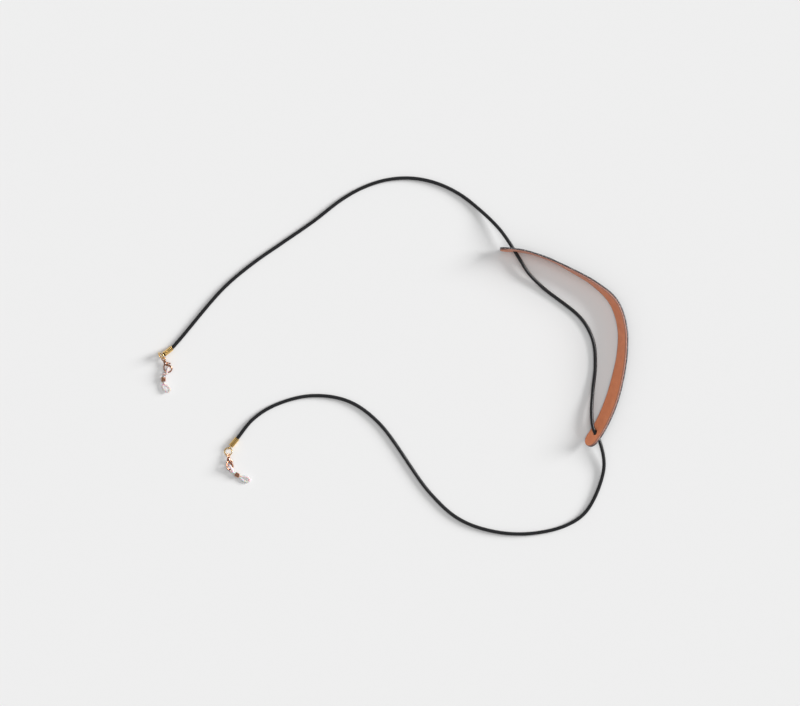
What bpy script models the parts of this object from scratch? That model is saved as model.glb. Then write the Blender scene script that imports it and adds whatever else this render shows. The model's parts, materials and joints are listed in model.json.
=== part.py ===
"""Eyeglass retainer strap: a round leather cord through a curved leather neck band.

Each end of the cord carries a fold-over crimp, a split ring, a lobster clasp and a
silicone loop that grips a spectacle temple arm. The strap lies on a flat surface,
with the neck band standing on its edge.

Frame: metres, +Z up, origin at the bottom centre of everything but the cord.
The lengths named here are in millimetres and are scaled once, by MM.
"""

import math

import bmesh
import bpy
import numpy as np
from mathutils import Matrix, Vector

MM = 0.001

# Cord
CORD_RADIUS = 1.15
CORD_FLOOR = 1.3
CORD_BEVEL_RESOLUTION = 2
CORD_STEPS_PER_LEG = 2
# Route of the cord's centre, from inside the left crimp to inside the right crimp.
CORD_ROUTE = [
    (-148.4, 8.1, 3.9),
    (-144.9, 11.0, 1.8),
    (-139.6, 16.8, CORD_FLOOR),
    (-111.5, 49.8, CORD_FLOOR),
    (-93.0, 65.6, CORD_FLOOR),
    (-73.0, 79.6, CORD_FLOOR),
    (-53.0, 93.4, CORD_FLOOR),
    (-33.7, 108.2, CORD_FLOOR),
    (-19.5, 116.0, CORD_FLOOR),
    (-4.0, 120.8, CORD_FLOOR),
    (12.2, 121.6, CORD_FLOOR),
    (28.0, 118.2, CORD_FLOOR),
    (42.6, 111.1, CORD_FLOOR),
    (56.0, 100.6, 2.0),
    (67.0, 89.9, 4.3),
    (73.2, 81.8, 5.6),
    (81.6, 68.6, 5.6),
    (87.0, 60.1, 4.2),
    (96.2, 50.8, 2.0),
    (121.3, 30.5, CORD_FLOOR),
    (129.0, 16.3, CORD_FLOOR),
    (130.5, 0.1, 1.3),
    (128.9, -16.1, 2.3),
    (128.0, -31.5, 4.4),
    (129.15, -41.0, 5.25),
    (133.05, -48.65, 5.25),
    (136.0, -67.0, 2.2),
    (125.3, -93.9, CORD_FLOOR),
    (112.3, -103.6, CORD_FLOOR),
    (88.5, -109.2, CORD_FLOOR),
    (64.2, -107.8, CORD_FLOOR),
    (42.0, -99.8, CORD_FLOOR),
    (23.3, -83.1, CORD_FLOOR),
    (-10.5, -37.0, CORD_FLOOR),
    (-30.4, -23.1, CORD_FLOOR),
    (-54.5, -19.7, CORD_FLOOR),
    (-77.9, -25.9, CORD_FLOOR),
    (-92.2, -35.2, CORD_FLOOR),
    (-102.1, -47.4, 1.7),
    (-105.5, -51.5, 1.7),
]

# Neck band: two plies of leather, glued face to face
BAND_PLY = 0.95
BAND_GLUE = 0.1
BAND_WIDTH = 11.5
BAND_END_ROUND = 5.75
BAND_TIP_FRACTION = 0.25
BAND_LENGTH_CELLS = 68
BAND_WIDTH_CELLS = 4
BAND_END_CROWDING = 0.076
BAND_LIFT = 0.05
# Line where the band's bottom edge stands: x, y, and the lean of the band in degrees.
BAND_LINE = [
    (68.5, 75.0, 6.0),
    (84.0, 74.0, 1.5),
    (99.5, 69.7, -2.5),
    (114.6, 61.7, 3.3),
    (129.6, 52.1, 10.0),
    (141.2, 39.2, 21.8),
    (145.7, 24.0, 24.5),
    (145.3, 8.3, 28.0),
    (142.0, -7.3, 34.5),
    (137.4, -22.5, 38.5),
    (130.9, -37.2, 38.5),
    (122.5, -50.2, 38.0),
]
BAND_HOLE_RADIUS = 1.75
BAND_HOLE_LENGTH = 16.0
# Centre of each hole, and the heading of the cord through it in degrees.
BAND_HOLES = [
    ((77.4, 75.2, 5.8), -57.5),
    ((131.1, -44.8, 5.3), -63.0),
]

# Fold-over crimp: a sheet wrapped round the cord, with an eye beyond its end
CRIMP_OUTER = 1.65
CRIMP_SHEET = 0.35
CRIMP_SEAM_DEG = 9.0
CRIMP_MOUTH_X = -8.0
CRIMP_SHELL_END_X = -1.3
CRIMP_ARC_POINTS = 22
CRIMP_WEB = ((-1.95, -0.3, -1.57), (-0.9, 0.3, 0.3))
CRIMP_EYE_RADIUS = 1.05
CRIMP_EYE_WIRE = 0.33

# Split ring
RING_RADIUS = 2.5
RING_WIRE = 0.36
RING_SPLIT_DEG = 3.0
RING_POINTS = 40

# Lobster clasp: X runs from its eye to its hook, Y towards the back of the hook
CLASP_EYE_RADIUS = 1.1
CLASP_EYE_WIRE = 0.35
# Stations of the casting, from the eye through the body to the hook's tip:
# x, y, half width in the clasp's plane, half thickness.
CLASP_STATIONS = [
    (0.9, 0.0, 0.5, 0.5),
    (1.6, 0.05, 0.95, 0.9),
    (2.5, 0.15, 1.25, 1.05),
    (3.5, 0.4, 1.3, 1.05),
    (4.4, 1.1, 1.0, 0.95),
    (5.2, 2.0, 0.75, 0.8),
    (6.1, 2.75, 0.62, 0.68),
    (7.2, 3.05, 0.56, 0.6),
    (8.3, 2.65, 0.5, 0.54),
    (9.0, 1.75, 0.48, 0.5),
    (9.25, 0.7, 0.48, 0.5),
    (9.0, -0.5, 0.46, 0.47),
    (8.35, -1.4, 0.4, 0.42),
]
CLASP_SLOT = ((1.85, -4.0, -0.5), (4.75, 4.0, 0.5))
LEVER_PIVOT = (3.1, 0.15)
LEVER_PIN_RADIUS = 0.3
LEVER_PIN_HALF_LENGTH = 1.08
LEVER_BORE_RADIUS = 0.38
LEVER_HUB_RADIUS = 0.72
LEVER_HALF_THICKNESS = 0.36
LEVER_BORE_HALF_LENGTH = 2.0
# Stations of the lever, from the gate's end over the pivot to the thumb tab.
LEVER_STATIONS = [
    (7.5, -1.6, 0.34, LEVER_HALF_THICKNESS),
    (6.6, -1.72, 0.4, LEVER_HALF_THICKNESS),
    (5.4, -1.55, 0.42, LEVER_HALF_THICKNESS),
    (4.2, -1.0, 0.46, LEVER_HALF_THICKNESS),
    (3.1, 0.15, 0.6, LEVER_HALF_THICKNESS),
    (3.0, 1.1, 0.42, LEVER_HALF_THICKNESS),
    (3.3, 2.0, 0.36, LEVER_HALF_THICKNESS),
    (3.9, 2.75, 0.34, LEVER_HALF_THICKNESS),
]
LEVER_KNOB = (4.05, 2.95)
LEVER_KNOB_RADIUS = 0.4
LEVER_KNOB_HALF_LENGTH = 0.3
SPRING_WIRE = 0.1
SPRING_ROUTE = [(2.2, -0.95), (2.09, -0.4), (2.06, 0.15), (2.09, 0.7), (2.2, 1.2)]

# Silicone loop: an eye for the clasp, a neck for the collar, a slot for the temple arm
# Half the strand's width and half its thickness, at distances along the loop.
LOOP_WIDTHS = [(4.6, 0.58), (5.6, 0.47), (11.3, 0.47), (13.0, 0.76)]
LOOP_THICKNESSES = [(10.9, 0.74), (13.0, 0.62)]
LOOP_CHAMFER = 0.4
LOOP_HALF_POINTS = 48
LOOP_REACH = (-0.6, 18.4)
LOOP_STEP = 0.05
# Half of the strand's centre line: distance along the loop, distance from its middle.
# Both halves meet in a short straight bar at each end.
LOOP_HALF_ROUTE = [
    (0.2, 0.55),
    (0.45, 1.1),
    (1.2, 1.45),
    (2.4, 1.52),
    (3.8, 1.4),
    (4.9, 0.85),
    (5.8, 0.5),
    (7.4, 0.5),
    (9.3, 0.5),
    (11.2, 0.5),
    (12.6, 1.0),
    (14.0, 1.4),
    (15.4, 1.46),
    (16.4, 1.36),
    (17.05, 1.0),
    (17.3, 0.4),
]
COLLAR_LENGTH = 2.9
COLLAR_BORE = 1.15
COLLAR_OUTER = 1.4
COLLAR_CHAMFER = 0.13
COLLAR_SIDES = 24

BAR_SIDES = 12
PIN_SIDES = 16
HOLE_SIDES = 20
EYE_STEPS = 24
EYE_SIDES = 10
SHARP_EDGE_DEG = 40.0
UP = Vector((0.0, 0.0, 1.0))
PARTS_COLLECTION = "eyeglass_retainer_strap"
CUTTERS_COLLECTION = "cutters"


def clear_scene():
    for obj in list(bpy.data.objects):
        bpy.data.objects.remove(obj, do_unlink=True)


def collection(name):
    found = bpy.data.collections.get(name)
    if found is None:
        found = bpy.data.collections.new(name)
        bpy.context.scene.collection.children.link(found)
    return found


def material(name, color, roughness, metallic):
    mat = bpy.data.materials.new(name)
    mat.use_nodes = True
    shader = mat.node_tree.nodes["Principled BSDF"]
    shader.inputs["Base Color"].default_value = (*color, 1.0)
    shader.inputs["Roughness"].default_value = roughness
    shader.inputs["Metallic"].default_value = metallic
    return mat


def make_materials():
    return {
        "black_leather": material("black_leather", (0.02, 0.02, 0.022), 0.5, 0.0),
        "tan_leather": material("tan_leather", (0.42, 0.17, 0.09), 0.65, 0.0),
        "gold": material("gold", (0.83, 0.58, 0.22), 0.22, 1.0),
        "rose_gold": material("rose_gold", (0.72, 0.42, 0.3), 0.24, 1.0),
        "silicone": material("silicone", (0.86, 0.85, 0.84), 0.35, 0.0),
        "steel": material("steel", (0.6, 0.6, 0.62), 0.3, 1.0),
    }


def smooth_curve(points, steps, closed=False):
    """Points on a centripetal Catmull-Rom curve, steps to each leg."""
    pts = [np.array(p, dtype=float) for p in points]
    if closed:
        ring = [pts[-1], *pts, pts[0], pts[1]]
    else:
        ring = [2 * pts[0] - pts[1], *pts, 2 * pts[-1] - pts[-2]]
    out = []
    for a, b, c, d in zip(ring, ring[1:], ring[2:], ring[3:]):
        t1 = np.linalg.norm(b - a) ** 0.5
        t2 = t1 + np.linalg.norm(c - b) ** 0.5
        t3 = t2 + np.linalg.norm(d - c) ** 0.5
        for i in range(steps):
            t = t1 + (t2 - t1) * i / steps
            ab = (a * (t1 - t) + b * t) / t1
            bc = (b * (t2 - t) + c * (t - t1)) / (t2 - t1)
            cd = (c * (t3 - t) + d * (t - t2)) / (t3 - t2)
            abc = (ab * (t2 - t) + bc * t) / t2
            bcd = (bc * (t3 - t) + cd * (t - t1)) / (t3 - t1)
            out.append((abc * (t2 - t) + bcd * (t - t1)) / (t2 - t1))
    if not closed:
        out.append(pts[-1])
    return np.array(out)


def tangents(points, closed=False):
    if closed:
        steps = np.roll(points, -1, axis=0) - np.roll(points, 1, axis=0)
    else:
        steps = np.gradient(points, axis=0)
    return steps / np.linalg.norm(steps, axis=1)[:, None]


def even_points(points, count):
    """The same open curve, cut at even distances."""
    steps = np.linalg.norm(np.diff(points, axis=0), axis=1)
    run = np.r_[0.0, np.cumsum(steps)]
    wanted = np.linspace(0.0, run[-1], count)
    return np.stack([np.interp(wanted, run, column) for column in points.T], axis=1)


def ease(position, keys):
    """Value at position between (position, value) keys, with smooth starts and stops."""
    for (p0, v0), (p1, v1) in zip(keys, keys[1:]):
        if position <= p1:
            t = min(max((position - p0) / (p1 - p0), 0.0), 1.0)
            return v0 + (v1 - v0) * t * t * (3.0 - 2.0 * t)
    return keys[-1][1]


def object_from_bmesh(name, bm, mat, cutter=False):
    bmesh.ops.recalc_face_normals(bm, faces=bm.faces)
    bmesh.ops.scale(bm, vec=Vector((MM, MM, MM)), verts=bm.verts)
    mesh = bpy.data.meshes.new(name)
    bm.to_mesh(mesh)
    bm.free()
    mesh.shade_smooth()
    mesh.set_sharp_from_angle(angle=math.radians(SHARP_EDGE_DEG))
    obj = bpy.data.objects.new(name, mesh)
    if mat:
        mesh.materials.append(mat)
    collection(CUTTERS_COLLECTION if cutter else PARTS_COLLECTION).objects.link(obj)
    obj.hide_render = cutter
    obj.display_type = "WIRE" if cutter else "TEXTURED"
    return obj


def loft(bm, sections, closed=False):
    """Skin rings of points that all have the same count; open lofts get end caps."""
    rings = [[bm.verts.new(point) for point in section] for section in sections]
    pairs = list(zip(rings, rings[1:]))
    if closed:
        pairs.append((rings[-1], rings[0]))
    for first, second in pairs:
        for i in range(len(first)):
            j = (i + 1) % len(first)
            bm.faces.new((first[i], first[j], second[j], second[i]))
    if not closed:
        bm.faces.new(rings[0])
        bm.faces.new(reversed(rings[-1]))


def ellipse(centre, across, up, half_width, half_height, count):
    angles = [2.0 * math.pi * i / count for i in range(count)]
    return [
        centre + across * (half_width * math.cos(a)) + up * (half_height * math.sin(a))
        for a in angles
    ]


def flat_loft(name, stations, steps, mat):
    """A bar along a flat path of (x, y, half width, half thickness) stations."""
    rows = smooth_curve(stations, steps)
    path = np.c_[rows[:, :2], np.zeros(len(rows))]
    ways = tangents(path)
    sections = []
    for (x, y, width, height), way in zip(rows, ways):
        across = Vector((-way[1], way[0], 0.0))
        sections.append(ellipse(Vector((x, y, 0.0)), across, UP, width, height, BAR_SIDES))
    bm = bmesh.new()
    loft(bm, sections)
    return object_from_bmesh(name, bm, mat)


def eye_cutter(name, radius, wire, axis):
    """A closed ring of round wire about the given axis, centred on its own origin."""
    turn = UP.rotation_difference(Vector(axis)).to_matrix()
    sections = []
    for i in range(EYE_STEPS):
        a = 2.0 * math.pi * i / EYE_STEPS
        out = Vector((math.cos(a), math.sin(a), 0.0))
        section = ellipse(out * radius, out, UP, wire, wire, EYE_SIDES)
        sections.append([turn @ point for point in section])
    bm = bmesh.new()
    loft(bm, sections, closed=True)
    return object_from_bmesh(name, bm, None, cutter=True)


def cylinder(name, radius, half_length, sides, mat=None):
    """A cylinder along Z, centred on its own origin; with no material it is a cutter."""
    bm = bmesh.new()
    bmesh.ops.create_cone(
        bm, cap_ends=True, segments=sides, radius1=radius, radius2=radius, depth=2 * half_length
    )
    return object_from_bmesh(name, bm, mat, cutter=mat is None)


def block_cutter(name, corners):
    """A box between two opposite corners."""
    low, high = corners
    bm = bmesh.new()
    bmesh.ops.create_cube(bm, size=1.0)
    size = Vector(high) - Vector(low)
    middle = (Vector(high) + Vector(low)) / 2
    bmesh.ops.scale(bm, vec=size, verts=bm.verts)
    bmesh.ops.translate(bm, vec=middle, verts=bm.verts)
    return object_from_bmesh(name, bm, None, cutter=True)


def boolean(target, tool, operation):
    modifier = target.modifiers.new(tool.name, "BOOLEAN")
    modifier.operation = operation
    modifier.solver = "EXACT"
    modifier.object = tool


def combine(target, tool, operation):
    """A Boolean whose tool follows the target as its child."""
    tool.parent = target
    boolean(target, tool, operation)


def wire_object(name, points, radius, resolution, mat):
    """A round wire on a POLY spline, with its ends closed."""
    data = bpy.data.curves.new(name, "CURVE")
    data.dimensions = "3D"
    data.bevel_depth = radius * MM
    data.bevel_resolution = resolution
    data.use_fill_caps = True
    spline = data.splines.new("POLY")
    spline.points.add(len(points) - 1)
    for place, point in zip(spline.points, points):
        place.co = (point[0] * MM, point[1] * MM, point[2] * MM, 1.0)
    data.materials.append(mat)
    obj = bpy.data.objects.new(name, data)
    collection(PARTS_COLLECTION).objects.link(obj)
    return obj


def direction(heading_deg, pitch_deg=0.0):
    heading = math.radians(heading_deg)
    pitch = math.radians(pitch_deg)
    return Vector(
        (
            math.cos(heading) * math.cos(pitch),
            math.sin(heading) * math.cos(pitch),
            math.sin(pitch),
        )
    )


def frame_at(point, x_axis, z_hint):
    """Placement with X along x_axis and Z as near z_hint as it can be; point is in mm."""
    x = Vector(x_axis).normalized()
    y = Vector(z_hint).cross(x).normalized()
    z = x.cross(y)
    place = Matrix((x, y, z)).transposed().to_4x4()
    place.translation = Vector(point) * MM
    return place


def in_mm(place, local):
    """A point given in a piece's own millimetres, in world millimetres."""
    return (place @ (Vector(local) * MM)) / MM


def make_cord(mats):
    points = smooth_curve(CORD_ROUTE, CORD_STEPS_PER_LEG)
    mat = mats["black_leather"]
    return wire_object("leather_cord", points, CORD_RADIUS, CORD_BEVEL_RESOLUTION, mat)


def band_base():
    """Rows along the band's standing edge: x, y, lean, and the two parts of the way along."""
    line = even_points(smooth_curve(BAND_LINE, 12), 240)
    return np.c_[line, tangents(line[:, :2])]


def band_point(base, along, across, offset):
    """Point of the band: along 0..1, across -1..1 of its width, offset out of its middle."""
    spot = along * (len(base) - 1)
    x, y, lean_deg, way_x, way_y = (
        np.interp(spot, range(len(base)), column) for column in base.T
    )
    outward = Vector((-way_y, way_x, 0.0)).normalized()
    lean = math.radians(lean_deg)
    rise = outward * math.sin(lean) + UP * math.cos(lean)
    face = outward * math.cos(lean) - UP * math.sin(lean)
    length = np.linalg.norm(np.diff(base[:, :2], axis=0), axis=1).sum()
    to_end = min(along, 1.0 - along) * length
    half = BAND_WIDTH / 2
    if to_end < BAND_END_ROUND:
        reach = 1.0 - to_end / BAND_END_ROUND
        half *= max(math.sqrt(1.0 - reach**2), BAND_TIP_FRACTION)
    stand = (BAND_PLY + BAND_GLUE / 2) * abs(math.sin(lean)) + BAND_LIFT
    middle = Vector((x, y, stand)) + rise * (BAND_WIDTH / 2)
    return middle + rise * (across * half) + face * offset


def make_ply(name, base, inner, outer, mat):
    """One ply of the band, between two offsets from the band's middle surface."""
    bm = bmesh.new()
    bmesh.ops.create_grid(bm, x_segments=BAND_LENGTH_CELLS, y_segments=BAND_WIDTH_CELLS, size=1.0)
    for vert in bm.verts:
        even = (vert.co.x + 1.0) / 2.0
        along = even - BAND_END_CROWDING * math.sin(2.0 * math.pi * even)
        vert.co = band_point(base, along, vert.co.y, inner)
    ply = object_from_bmesh(name, bm, mat)
    shell = ply.modifiers.new("thickness", "SOLIDIFY")
    shell.thickness = (outer - inner) * MM
    shell.offset = 1.0
    shell.use_even_offset = True
    return ply


def make_band(mats):
    """Both plies hang on an empty at the first hole, on the cord they slide along."""
    base = band_base()
    half_glue = BAND_GLUE / 2
    plies = (
        make_ply("band_outer", base, half_glue, half_glue + BAND_PLY, mats["black_leather"]),
        make_ply("band_lining", base, -half_glue - BAND_PLY, -half_glue, mats["tan_leather"]),
    )
    holder = bpy.data.objects.new("neck_band", None)
    collection(PARTS_COLLECTION).objects.link(holder)
    holder.location = Vector(BAND_HOLES[0][0]) * MM
    for number, (centre, heading) in enumerate(BAND_HOLES):
        cutter = cylinder(
            f"band_hole_{number}", BAND_HOLE_RADIUS, BAND_HOLE_LENGTH / 2, HOLE_SIDES
        )
        turn = UP.rotation_difference(direction(heading)).to_matrix().to_4x4()
        cutter.matrix_world = Matrix.Translation(Vector(centre) * MM) @ turn
        for ply in plies:
            boolean(ply, cutter, "DIFFERENCE")
    for ply in plies:
        ply.parent = holder
        ply.matrix_parent_inverse = Matrix.Translation(holder.location).inverted()


def make_crimp(side, place, mats):
    """Sheet wrapped round the cord; its origin is the centre of its eye."""
    inner = CRIMP_OUTER - CRIMP_SHEET
    first = math.radians(90.0 + CRIMP_SEAM_DEG)
    last = math.radians(450.0 - CRIMP_SEAM_DEG)
    angles = [first + (last - first) * i / (CRIMP_ARC_POINTS - 1) for i in range(CRIMP_ARC_POINTS)]
    outline = [(CRIMP_OUTER * math.cos(a), CRIMP_OUTER * math.sin(a)) for a in angles]
    outline += [(inner * math.cos(a), inner * math.sin(a)) for a in reversed(angles)]
    sections = [
        [Vector((x, y, z)) for y, z in outline] for x in (CRIMP_MOUTH_X, CRIMP_SHELL_END_X)
    ]
    bm = bmesh.new()
    loft(bm, sections)
    crimp = object_from_bmesh(f"{side}_crimp", bm, mats["gold"])
    web = block_cutter(f"{side}_crimp_web", CRIMP_WEB)
    eye = eye_cutter(f"{side}_crimp_eye", CRIMP_EYE_RADIUS, CRIMP_EYE_WIRE, (0.0, 1.0, 0.0))
    combine(crimp, web, "UNION")
    combine(crimp, eye, "UNION")
    crimp.matrix_world = place


def make_ring(side, place, mats):
    """Split ring; its origin is on its wire, where the crimp's eye holds it."""
    start = math.radians(90.0 + RING_SPLIT_DEG / 2)
    sweep = math.radians(360.0 - RING_SPLIT_DEG)
    points = []
    for i in range(RING_POINTS + 1):
        a = start + sweep * i / RING_POINTS
        points.append((RING_RADIUS + RING_RADIUS * math.cos(a), -RING_RADIUS * math.sin(a), 0.0))
    ring = wire_object(f"{side}_jump_ring", points, RING_WIRE, 2, mats["gold"])
    ring.matrix_world = place


def make_clasp(side, place, mats):
    """Casting, lever, rivet and spring; the casting's origin is the centre of its eye."""
    body = flat_loft(f"{side}_clasp_body", CLASP_STATIONS, 3, mats["rose_gold"])
    pivot = Vector((*LEVER_PIVOT, 0.0))
    eye = eye_cutter(f"{side}_clasp_eye", CLASP_EYE_RADIUS, CLASP_EYE_WIRE, UP)
    slot = block_cutter(f"{side}_clasp_slot", CLASP_SLOT)
    bore = cylinder(
        f"{side}_clasp_bore", LEVER_BORE_RADIUS, LEVER_BORE_HALF_LENGTH, HOLE_SIDES
    )
    bore.location = pivot * MM
    combine(body, eye, "UNION")
    combine(body, slot, "DIFFERENCE")
    combine(body, bore, "DIFFERENCE")
    body.matrix_world = place

    stations = [(x - pivot.x, y - pivot.y, w, t) for x, y, w, t in LEVER_STATIONS]
    lever = flat_loft(f"{side}_clasp_lever", stations, 2, mats["rose_gold"])
    hub = cylinder(f"{side}_lever_hub", LEVER_HUB_RADIUS, LEVER_HALF_THICKNESS, HOLE_SIDES)
    knob = cylinder(f"{side}_lever_knob", LEVER_KNOB_RADIUS, LEVER_KNOB_HALF_LENGTH, BAR_SIDES)
    hole = cylinder(
        f"{side}_lever_bore", LEVER_BORE_RADIUS, LEVER_BORE_HALF_LENGTH, HOLE_SIDES
    )
    knob.location = (Vector((*LEVER_KNOB, 0.0)) - pivot) * MM
    combine(lever, hub, "UNION")
    combine(lever, knob, "UNION")
    combine(lever, hole, "DIFFERENCE")
    lever.parent = body
    lever.location = pivot * MM

    pin = cylinder(
        f"{side}_lever_pin", LEVER_PIN_RADIUS, LEVER_PIN_HALF_LENGTH, PIN_SIDES, mats["steel"]
    )
    pin.parent = body
    pin.location = pivot * MM

    route = smooth_curve([(x, y, 0.0) for x, y in SPRING_ROUTE], 3)
    spring = wire_object(f"{side}_lever_spring", route, SPRING_WIRE, 2, mats["steel"])
    spring.parent = body


def loop_centre_line(headings, pitches, rolls, anchor, anchor_at):
    """Centre line of a silicone loop as rows of distance, point, side and normal."""
    rows = []
    point = Vector((0.0, 0.0, 0.0))
    for s in np.arange(*LOOP_REACH, LOOP_STEP):
        way = direction(ease(s, headings), ease(s, pitches))
        left = UP.cross(way).normalized()
        up = way.cross(left)
        roll = math.radians(ease(s, rolls))
        side = left * math.cos(roll) + up * math.sin(roll)
        normal = way.cross(side)
        rows.append([s, point, way, side, normal])
        point = point + way * LOOP_STEP
    at = min(rows, key=lambda row: abs(row[0] - anchor_at))
    shift = Vector(anchor) - at[1]
    for row in rows:
        row[1] = row[1] + shift
    return rows


def on_centre_line(rows, s):
    """Point, way, side and normal at a distance along the loop."""
    spot = (s - rows[0][0]) / LOOP_STEP
    i = min(max(int(spot), 0), len(rows) - 2)
    t = spot - i
    return [rows[i][k] * (1.0 - t) + rows[i + 1][k] * t for k in range(1, 5)]


def make_temple_loop(side, rows, origin, mats):
    """Closed strand of chamfered section, bent and twisted along its centre line."""
    half = even_points(smooth_curve(LOOP_HALF_ROUTE, 6), LOOP_HALF_POINTS)
    mirrored = half[::-1] * (1.0, -1.0)
    centres = []
    normals = []
    sizes = []
    for s, v in np.vstack([half, mirrored]):
        point, _, across, normal = on_centre_line(rows, s)
        centres.append(point + across * v)
        normals.append(normal)
        sizes.append((ease(s, LOOP_WIDTHS), ease(s, LOOP_THICKNESSES)))
    ways = tangents(np.array(centres), closed=True)
    corner = [(1.0, 1.0 - LOOP_CHAMFER), (1.0 - LOOP_CHAMFER, 1.0)]
    corners = corner + [(-a, b) for a, b in reversed(corner)]
    corners += [(-a, -b) for a, b in corners]
    sections = []
    for centre, way, normal, (width, thickness) in zip(centres, ways, normals, sizes):
        out = Vector(way).cross(normal).normalized() * width
        up = out.cross(Vector(way)).normalized() * thickness
        local = centre - origin
        sections.append([local + out * a + up * b for a, b in corners])
    bm = bmesh.new()
    loft(bm, sections, closed=True)
    loop = object_from_bmesh(f"{side}_temple_loop", bm, mats["silicone"])
    loop.location = origin * MM


def make_collar(side, rows, at, mats):
    """Short tube round both strands of the neck; X is its axis."""
    point, way, _, normal = on_centre_line(rows, at)
    end = COLLAR_LENGTH / 2
    shoulder = end - COLLAR_CHAMFER
    rim = COLLAR_OUTER - COLLAR_CHAMFER
    profile = [
        (-end, COLLAR_BORE),
        (-end, rim),
        (-shoulder, COLLAR_OUTER),
        (shoulder, COLLAR_OUTER),
        (end, rim),
        (end, COLLAR_BORE),
    ]
    sections = []
    for i in range(COLLAR_SIDES):
        a = 2.0 * math.pi * i / COLLAR_SIDES
        out = Vector((0.0, math.cos(a), math.sin(a)))
        sections.append([Vector((x, 0.0, 0.0)) + out * r for x, r in profile])
    bm = bmesh.new()
    loft(bm, sections, closed=True)
    collar = object_from_bmesh(f"{side}_collar", bm, mats["rose_gold"])
    collar.matrix_world = frame_at(point, way, normal)


# How each end lies. Points are in millimetres and angles in degrees.
SIDES = {
    "left": {
        "crimp_eye": (-150.53, 6.44, 5.18),
        "crimp_way": direction(-141.0, 25.0),
        "ring_way": (-0.355, -0.121, -0.927),
        "ring_normal": (-0.696, -0.630, 0.349),
        "clasp_on_ring_deg": 80.0,
        "clasp_way": direction(-71.2, 0.0),
        "clasp_up": UP,
        "hook_spot": (8.72, -0.92, 0.08),
        "loop_anchor_at": 3.0,
        "loop_headings": [
            (0.0, -106.0),
            (3.2, -108.0),
            (4.6, -150.0),
            (5.1, -150.0),
            (6.4, -91.0),
            (10.4, -89.0),
            (15.4, -40.0),
        ],
        "loop_pitches": [(0.0, -5.2), (10.0, -5.2), (12.6, 3.0)],
        "loop_rolls": [(0.0, 80.0), (3.4, 80.0), (6.6, 24.0), (10.4, 24.0), (13.0, 9.0)],
        "collar_at": 8.5,
    },
    "right": {
        "crimp_eye": (-107.2, -53.6, 1.7),
        "crimp_way": direction(-129.4, 0.0),
        "ring_way": (-0.31, -0.95, 0.0),
        "ring_normal": (-0.325, 0.106, 0.94),
        "clasp_on_ring_deg": 21.0,
        "clasp_way": direction(-87.6, 5.0),
        "clasp_up": (0.573, 0.021, 0.819),
        "hook_spot": (9.12, 1.35, 0.06),
        "loop_anchor_at": 3.0,
        "loop_headings": [(0.0, -64.0), (4.0, -62.0), (6.0, -30.0), (11.0, -28.0), (15.4, -22.0)],
        "loop_pitches": [(0.0, -4.8), (10.5, -4.8), (14.4, -2.8)],
        "loop_rolls": [(0.0, 60.0), (3.8, 60.0), (9.0, 6.0)],
        "collar_at": 8.7,
    },
}


def make_end(side, spec, mats):
    crimp_place = frame_at(spec["crimp_eye"], spec["crimp_way"], UP)
    make_crimp(side, crimp_place, mats)

    ring_place = frame_at(spec["crimp_eye"], spec["ring_way"], spec["ring_normal"])
    make_ring(side, ring_place, mats)

    turn = math.radians(spec["clasp_on_ring_deg"])
    held = (RING_RADIUS * (1.0 + math.cos(turn)), RING_RADIUS * math.sin(turn), 0.0)
    clasp_place = frame_at(in_mm(ring_place, held), spec["clasp_way"], spec["clasp_up"])
    make_clasp(side, clasp_place, mats)

    hook = in_mm(clasp_place, spec["hook_spot"])
    rows = loop_centre_line(
        spec["loop_headings"],
        spec["loop_pitches"],
        spec["loop_rolls"],
        hook,
        spec["loop_anchor_at"],
    )
    make_temple_loop(side, rows, hook, mats)
    make_collar(side, rows, spec["collar_at"], mats)


def main():
    clear_scene()
    mats = make_materials()
    make_cord(mats)
    make_band(mats)
    for side, spec in SIDES.items():
        make_end(side, spec, mats)


main()
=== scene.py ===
"""Looks of an eyeglass retainer strap: a leather cord through a two-ply leather neck band.

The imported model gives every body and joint. This script lays a detailed piece over each
part, with its material, and sets the camera, the floor and the light.
Fittings are shaped in millimetres about their own joint and then placed; the cord's
route is in metres.
"""

import json
import math

import bmesh
import bpy
import numpy as np
from mathutils import Matrix, Vector, noise


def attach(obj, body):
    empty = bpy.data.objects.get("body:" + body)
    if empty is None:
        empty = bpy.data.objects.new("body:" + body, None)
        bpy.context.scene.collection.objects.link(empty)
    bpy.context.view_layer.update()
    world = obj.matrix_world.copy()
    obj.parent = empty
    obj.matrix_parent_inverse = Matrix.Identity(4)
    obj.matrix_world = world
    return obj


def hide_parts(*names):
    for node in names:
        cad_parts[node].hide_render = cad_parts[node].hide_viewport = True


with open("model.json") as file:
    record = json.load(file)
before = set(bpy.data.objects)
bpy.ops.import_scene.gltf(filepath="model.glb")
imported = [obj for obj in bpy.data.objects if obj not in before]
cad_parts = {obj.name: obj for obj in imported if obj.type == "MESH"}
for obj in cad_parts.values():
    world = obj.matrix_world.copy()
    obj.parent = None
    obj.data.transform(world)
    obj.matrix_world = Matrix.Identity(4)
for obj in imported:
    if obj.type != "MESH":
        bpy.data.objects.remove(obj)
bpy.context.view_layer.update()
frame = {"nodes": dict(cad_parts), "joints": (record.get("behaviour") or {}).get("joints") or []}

MM = 0.001
UP = Vector((0.0, 0.0, 1.0))
JOINTS = {joint["name"]: joint for joint in frame["joints"]}
SIDES = ("left", "right")
TAU = 2.0 * math.pi

# Camera, straight above the strap
VIEW_CENTRE = (0.0036, 0.0081)
VIEW_WIDTH = 0.520
CAMERA_HEIGHT = 5.0
SENSOR_WIDTH = 36.0

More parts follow.
